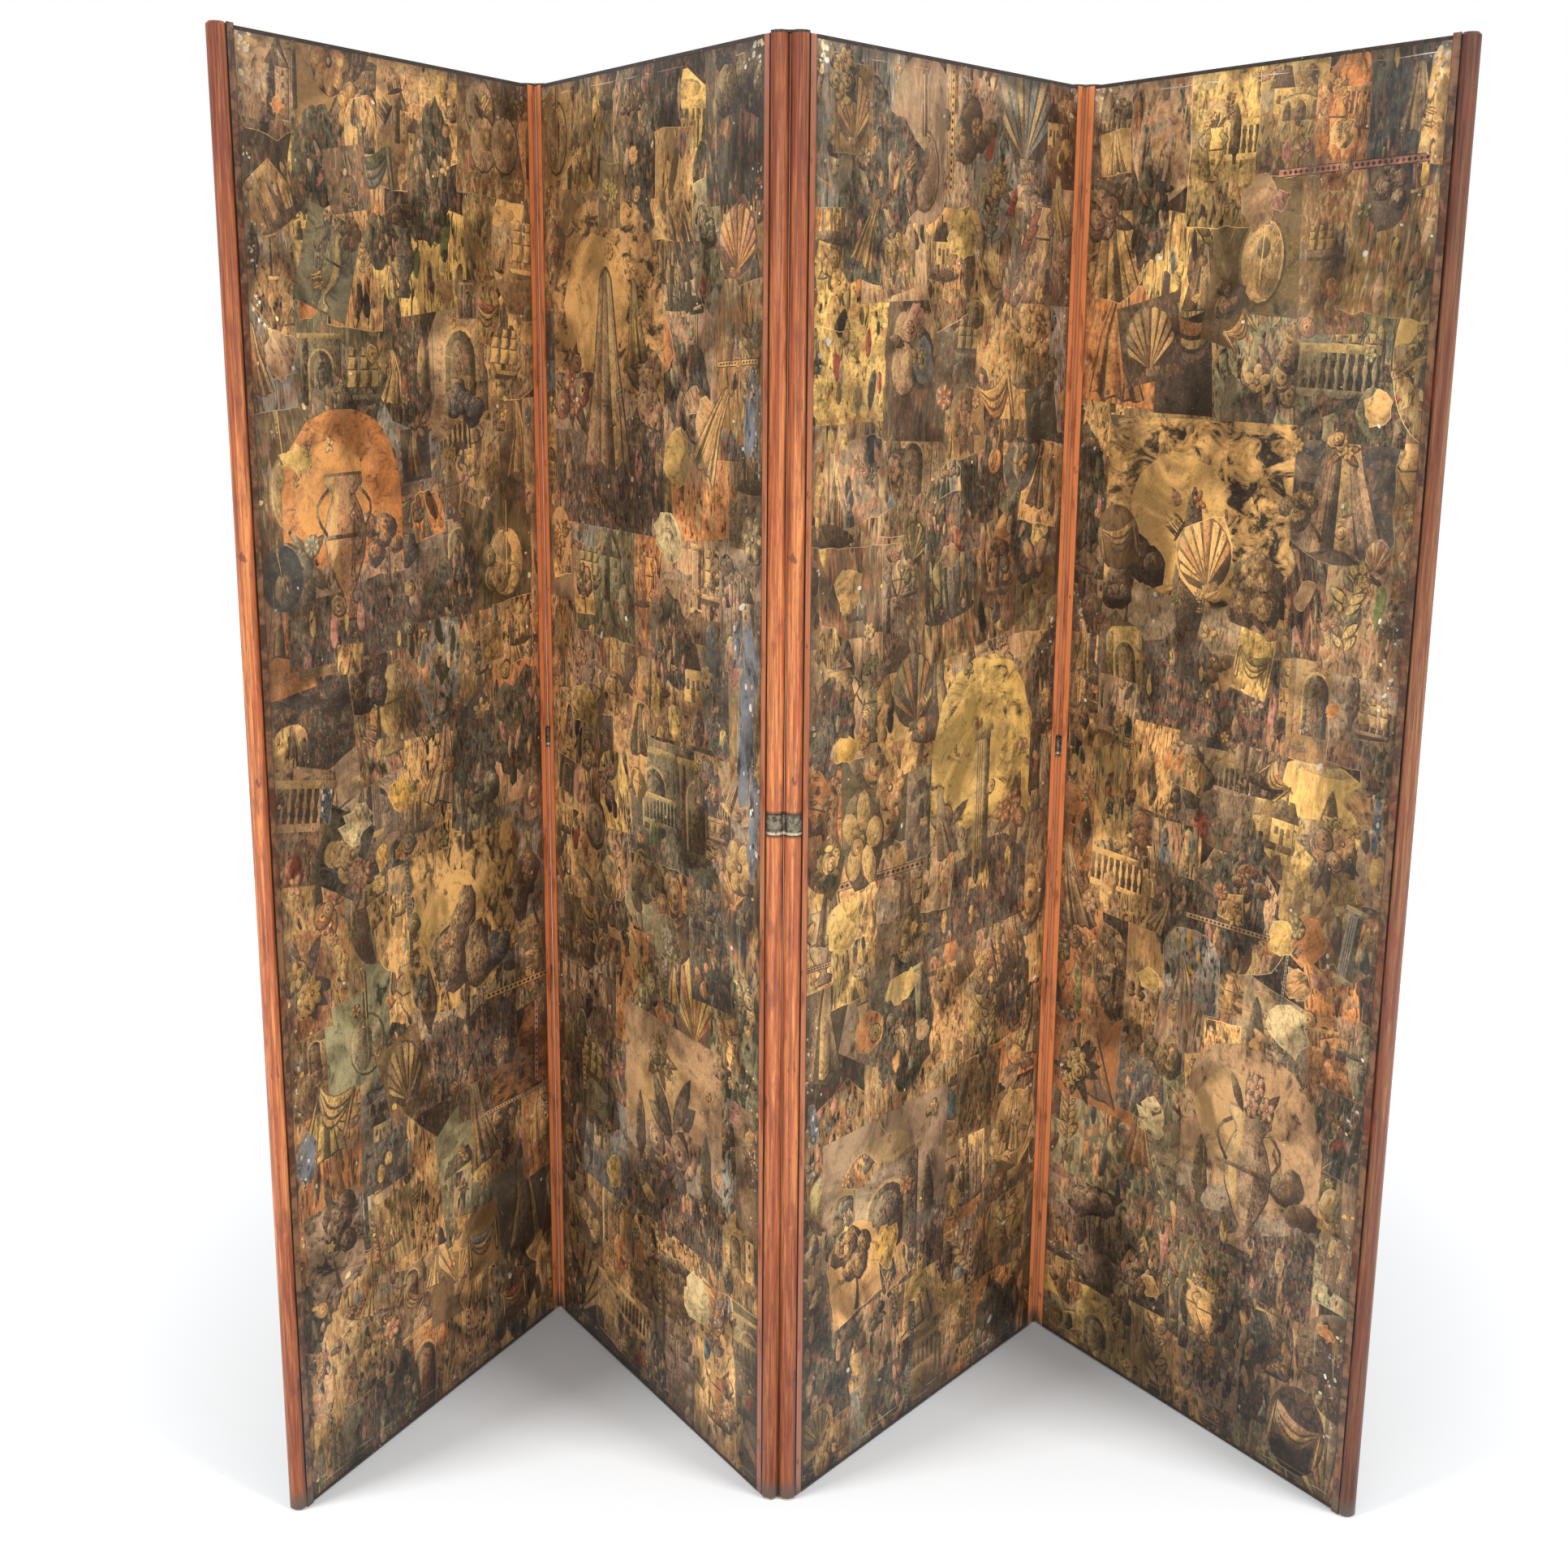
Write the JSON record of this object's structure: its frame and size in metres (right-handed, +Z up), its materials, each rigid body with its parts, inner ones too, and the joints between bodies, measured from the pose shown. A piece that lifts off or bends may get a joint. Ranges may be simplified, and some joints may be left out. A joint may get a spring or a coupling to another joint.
{
  "type": "decoupage folding screen",
  "caption": "Tall zigzag folding screen of papered canvas leaves with round-nosed wooden edge mouldings, joined by double-pivot link hinges so the leaves fold flat.",
  "frame": {"origin": "on the floor under the middle of the screen's standing outline", "axes": "+Z up along the leaf height, +X along the screen's width to the right as seen from the front, the front faces -Y"},
  "size_m": [1.356, 0.5592, 1.78],
  "materials": {
    "frame_wood": "plain sawn softwood",
    "moulding_wood": "aged polished mahogany",
    "papered_canvas": "canvas pasted with paper scraps under aged varnish",
    "dark_binding": "dark varnished strip",
    "hinge_metal": "tarnished",
    "pin_steel": "plain"
  },
  "bodies": {
    "leaf_1": {"leaf_1_left_stile": "frame_wood", "leaf_1_left_moulding": "moulding_wood", "leaf_1_right_stile": "frame_wood", "leaf_1_right_moulding": "moulding_wood", "leaf_1_bottom_rail": "frame_wood", "leaf_1_middle_rail": "frame_wood", "leaf_1_top_rail": "frame_wood", "leaf_1_front_canvas": "papered_canvas", "leaf_1_back_canvas": "papered_canvas", "leaf_1_top_binding": "dark_binding", "leaf_1_bottom_binding": "dark_binding"},
    "leaf_2": {"leaf_2_left_stile": "frame_wood", "leaf_2_left_moulding": "moulding_wood", "leaf_2_right_stile": "frame_wood", "leaf_2_right_moulding": "moulding_wood", "leaf_2_bottom_rail": "frame_wood", "leaf_2_middle_rail": "frame_wood", "leaf_2_top_rail": "frame_wood", "leaf_2_front_canvas": "papered_canvas", "leaf_2_back_canvas": "papered_canvas", "leaf_2_top_binding": "dark_binding", "leaf_2_bottom_binding": "dark_binding"},
    "leaf_3": {"leaf_3_left_stile": "frame_wood", "leaf_3_left_moulding": "moulding_wood", "leaf_3_right_stile": "frame_wood", "leaf_3_right_moulding": "moulding_wood", "leaf_3_bottom_rail": "frame_wood", "leaf_3_middle_rail": "frame_wood", "leaf_3_top_rail": "frame_wood", "leaf_3_front_canvas": "papered_canvas", "leaf_3_back_canvas": "papered_canvas", "leaf_3_top_binding": "dark_binding", "leaf_3_bottom_binding": "dark_binding"},
    "leaf_4": {"leaf_4_left_stile": "frame_wood", "leaf_4_left_moulding": "moulding_wood", "leaf_4_right_stile": "frame_wood", "leaf_4_right_moulding": "moulding_wood", "leaf_4_bottom_rail": "frame_wood", "leaf_4_middle_rail": "frame_wood", "leaf_4_top_rail": "frame_wood", "leaf_4_front_canvas": "papered_canvas", "leaf_4_back_canvas": "papered_canvas", "leaf_4_top_binding": "dark_binding", "leaf_4_bottom_binding": "dark_binding"},
    "hinge_12": {"hinge_12_end_plates": "hinge_metal", "hinge_12_middle_link": "hinge_metal", "hinge_12_pivot_pins": "pin_steel"},
    "hinge_23": {"hinge_23_end_plates": "hinge_metal", "hinge_23_middle_link": "hinge_metal", "hinge_23_pivot_pins": "pin_steel"},
    "hinge_34": {"hinge_34_end_plates": "hinge_metal", "hinge_34_middle_link": "hinge_metal", "hinge_34_pivot_pins": "pin_steel"}
  },
  "joints": [
    {"name": "hinge_12_on_leaf_2", "type": "hinge", "parent": "leaf_2", "child": "hinge_12", "pos_m": [-0.41033, 0.26845, 0.89], "axis": [0, 0, 1], "range_deg": [-60.3, 29.7]},
    {"name": "leaf_1_on_hinge_12", "type": "hinge", "parent": "hinge_12", "child": "leaf_1", "pos_m": [-0.43231, 0.26614, 0.89], "axis": [0, 0, 1], "range_deg": [-60.3, 29.7]},
    {"name": "hinge_23_on_leaf_2", "type": "hinge", "parent": "leaf_2", "child": "hinge_23", "pos_m": [-0.06948, -0.20589, 0.89], "axis": [0, 0, 1], "range_deg": [-54.3, 35.7]},
    {"name": "leaf_3_on_hinge_23", "type": "hinge", "parent": "hinge_23", "child": "leaf_3", "pos_m": [-0.04738, -0.20589, 0.89], "axis": [0, 0, 1], "range_deg": [-54.3, 35.7]},
    {"name": "hinge_34_on_leaf_3", "type": "hinge", "parent": "leaf_3", "child": "hinge_34", "pos_m": [0.29346, 0.26845, 0.89], "axis": [0, 0, -1], "range_deg": [-53.65, 36.35]},
    {"name": "leaf_4_on_hinge_34", "type": "hinge", "parent": "hinge_34", "child": "leaf_4", "pos_m": [0.31556, 0.2687, 0.89], "axis": [0, 0, -1], "range_deg": [-53.65, 36.35]}
  ]
}
